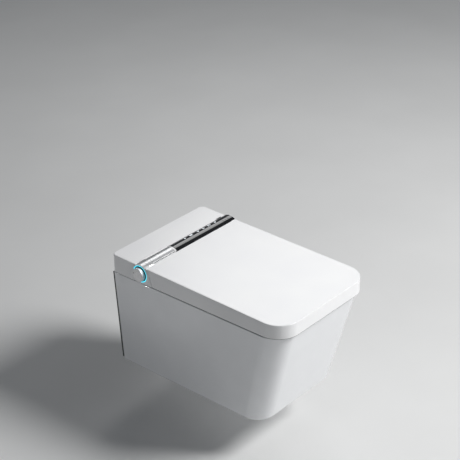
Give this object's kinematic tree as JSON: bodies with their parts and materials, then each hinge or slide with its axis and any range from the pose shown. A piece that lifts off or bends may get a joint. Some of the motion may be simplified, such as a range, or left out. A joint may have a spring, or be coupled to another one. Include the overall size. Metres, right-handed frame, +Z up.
{
  "type": "electric bidet seat on a wall-hung bowl",
  "caption": "Square-cut wall-hung bidet toilet: tapered ceramic bowl with an electric seat unit that has a hinged seat and lid, a side knob, a display bar and a sliding spray nozzle.",
  "frame": {"origin": "on the wall face of the part, midway between the two wall fixings", "axes": "+Y out of the part's wall face into the wall, +Z up, the front points to -Y and the knob is on the -X side"},
  "size_m": [0.3868, 0.6035, 0.3573],
  "materials": {
    "glazed_ceramic": "white glaze, high gloss",
    "white_plastic": "white moulded urea or ABS, soft gloss",
    "grey_plastic": "light grey moulded, matt",
    "dark_plastic": "dark grey moulded, fine spark texture",
    "black_gloss": "black, polished, with lit symbols behind the display lens",
    "satin_metal": "satin silver plating",
    "steel": "bright steel",
    "brass": "plain brass",
    "rubber": "soft, matt",
    "circuit_board": "green solder mask",
    "cyan_light": "lit light guide"
  },
  "bodies": {
    "toilet": {"ceramic_bowl": "glazed_ceramic", "wall_gasket": "rubber", "wall_stud_left": "steel", "stud_nut_left": "steel", "wall_stud_right": "steel", "stud_nut_right": "steel", "outlet_connector": "grey_plastic", "flush_connector": "grey_plastic", "housing_cover": "white_plastic", "base_plate": "grey_plastic", "front_cover": "white_plastic", "barrel_cover": "satin_metal", "display_lens": "black_gloss", "display_board": "circuit_board", "barrel_end": "satin_metal", "lens_end": "black_gloss", "light_ring": "cyan_light", "knob_bezel": "dark_plastic", "knob_encoder": "black_gloss", "hinge_pin_left": "steel", "hinge_pin_right": "steel", "lid_damper": "grey_plastic", "seat_damper": "grey_plastic", "nozzle_guide": "grey_plastic", "nozzle_motor": "steel", "water_heater": "brass", "water_pump": "dark_plastic", "water_inlet": "brass", "solenoid_valve": "black_gloss", "control_board": "circuit_board", "dryer_blower": "dark_plastic", "dryer_duct": "grey_plastic", "deodoriser_fan": "dark_plastic", "power_supply": "grey_plastic", "cable_gland": "dark_plastic", "seat_bolt_left": "steel", "seat_bolt_nut_left": "dark_plastic", "seat_bolt_right": "steel", "seat_bolt_nut_right": "dark_plastic"},
    "seat": {"seat_top": "white_plastic", "seat_bottom": "white_plastic", "seat_heater": "brass", "seat_buffer_rear_left": "rubber", "seat_buffer_front_left": "rubber", "seat_buffer_rear_right": "rubber", "seat_buffer_front_right": "rubber", "seat_hinge_left": "satin_metal", "seat_hinge_right": "black_gloss"},
    "lid": {"lid_shell": "white_plastic", "lid_liner": "white_plastic", "lid_buffer_left": "rubber", "lid_buffer_right": "rubber", "lid_hinge_left": "satin_metal", "lid_hinge_right": "black_gloss"},
    "knob_button": {"knob_shaft": "steel"},
    "knob": {"control_knob": "satin_metal"},
    "nozzle": {"nozzle_tube": "steel", "nozzle_tip": "white_plastic"},
    "flap": {"dryer_flap": "white_plastic"}
  },
  "joints": [
    {"name": "seat_hinge", "type": "hinge", "parent": "toilet", "child": "seat", "pos_m": [0, -0.1105, 0.1383], "axis": [1, 0, 0], "range_deg": [-92, 0]},
    {"name": "lid_hinge", "type": "hinge", "parent": "seat", "child": "lid", "pos_m": [0, -0.1105, 0.1383], "axis": [-1, 0, 0], "range_deg": [0, 95]},
    {"name": "knob_press", "type": "slide", "parent": "toilet", "child": "knob_button", "axis": [1, 0, 0], "range_m": [0, 0.0015], "stiffness_N_per_m": 900, "springref_m": -0.0005},
    {"name": "knob_turn", "type": "hinge", "parent": "knob_button", "child": "knob", "pos_m": [-0.19, -0.1105, 0.13185], "axis": [-1, 0, 0], "continuous": true},
    {"name": "nozzle_slide", "type": "slide", "parent": "toilet", "child": "nozzle", "axis": [0, -0.9511, -0.309], "range_m": [0, 0.09]},
    {"name": "flap_hinge", "type": "hinge", "parent": "toilet", "child": "flap", "pos_m": [0.053, -0.131, 0.1187], "axis": [-1, 0, 0], "range_deg": [0, 60], "stiffness_Nm_per_rad": 0.004, "springref_deg": -11.46}
  ]
}
